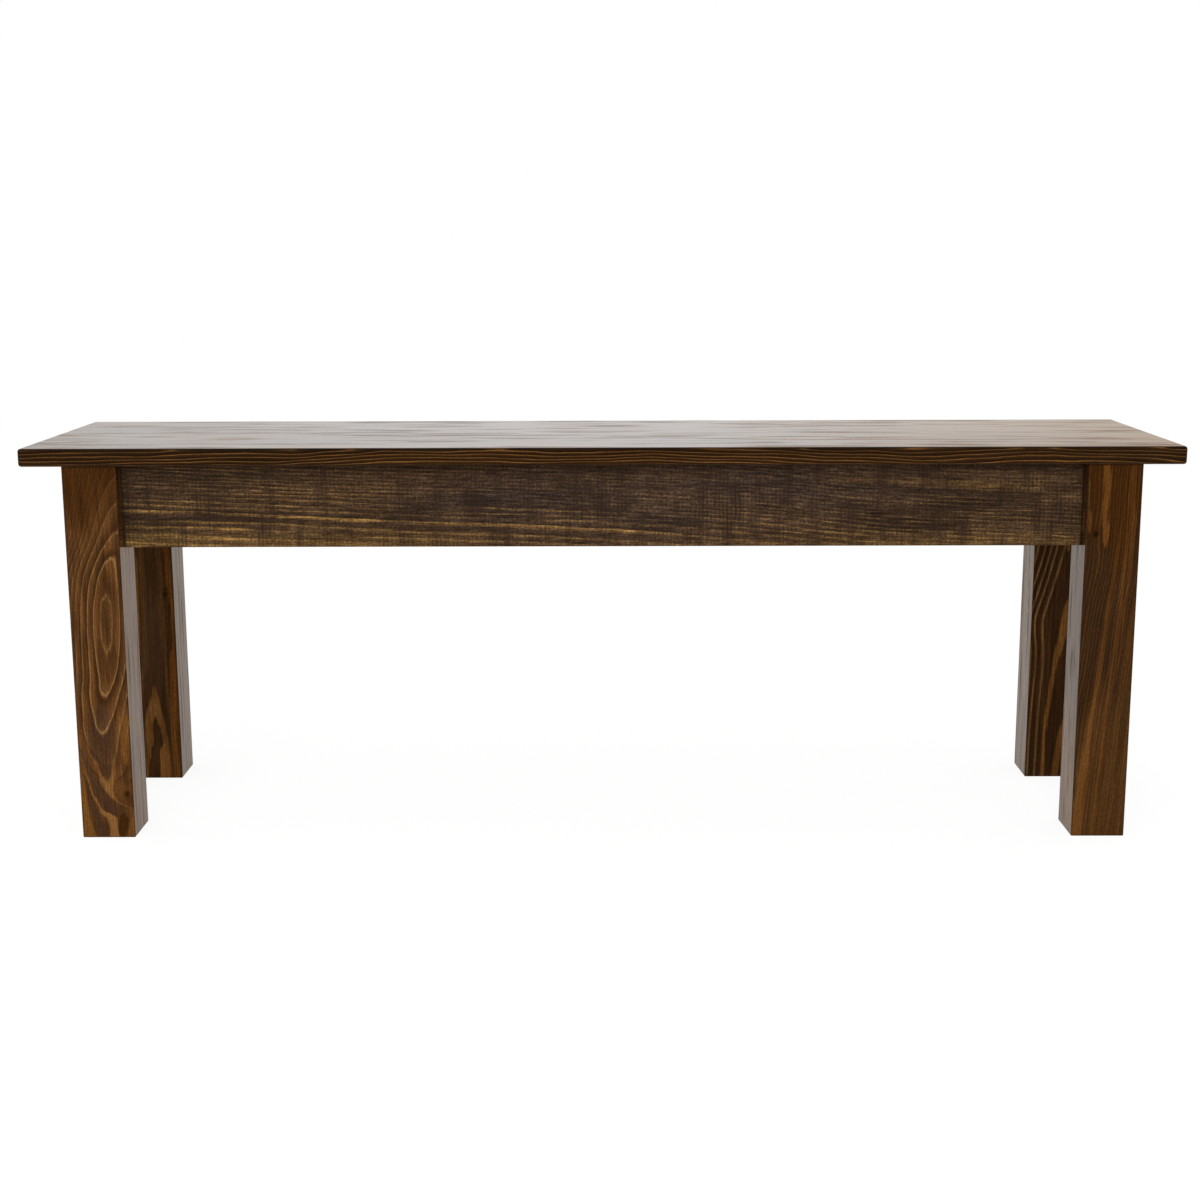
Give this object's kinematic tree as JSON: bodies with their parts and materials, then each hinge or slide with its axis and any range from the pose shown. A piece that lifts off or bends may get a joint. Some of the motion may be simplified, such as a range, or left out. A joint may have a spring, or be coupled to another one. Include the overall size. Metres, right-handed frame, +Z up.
{
  "type": "bench",
  "caption": "Backless bench with a wide plank seat on square legs, tied by set-back aprons and a cross rail that are drawn up from the inside by screws in slanted pockets.",
  "frame": {"origin": "on the floor, under the middle of the seat", "axes": "+X along the bench, -Y towards its front, +Z up"},
  "size_m": [1.2192, 0.2922, 0.4254],
  "materials": {
    "seat_wood": "dark walnut stain under glossy lacquer",
    "leg_wood": "warm walnut stain under satin lacquer",
    "apron_wood": "rough-sawn, stained dark",
    "rail_wood": "stained, unpolished",
    "screw_steel": "zinc plated"
  },
  "bodies": {
    "root": {"seat_board": "seat_wood", "leg_front_left": "leg_wood", "leg_front_right": "leg_wood", "leg_rear_left": "leg_wood", "leg_rear_right": "leg_wood", "front_apron": "apron_wood", "rear_apron": "apron_wood", "left_apron": "apron_wood", "right_apron": "apron_wood", "cross_rail": "rail_wood", "front_apron_screw_left_upper": "screw_steel", "front_apron_screw_left_lower": "screw_steel", "front_apron_screw_right_upper": "screw_steel", "front_apron_screw_right_lower": "screw_steel", "rear_apron_screw_left_upper": "screw_steel", "rear_apron_screw_left_lower": "screw_steel", "rear_apron_screw_right_upper": "screw_steel", "rear_apron_screw_right_lower": "screw_steel", "left_apron_screw_front_upper": "screw_steel", "left_apron_screw_front_lower": "screw_steel", "left_apron_screw_rear_upper": "screw_steel", "left_apron_screw_rear_lower": "screw_steel", "right_apron_screw_front_upper": "screw_steel", "right_apron_screw_front_lower": "screw_steel", "right_apron_screw_rear_upper": "screw_steel", "right_apron_screw_rear_lower": "screw_steel", "cross_rail_screw_front_upper": "screw_steel", "cross_rail_screw_front_lower": "screw_steel", "cross_rail_screw_rear_upper": "screw_steel", "cross_rail_screw_rear_lower": "screw_steel", "seat_screw_front_1": "screw_steel", "seat_screw_front_2": "screw_steel", "seat_screw_front_3": "screw_steel", "seat_screw_front_4": "screw_steel", "seat_screw_rear_1": "screw_steel", "seat_screw_rear_2": "screw_steel", "seat_screw_rear_3": "screw_steel", "seat_screw_rear_4": "screw_steel", "seat_screw_left": "screw_steel", "seat_screw_right": "screw_steel"}
  },
  "joints": []
}
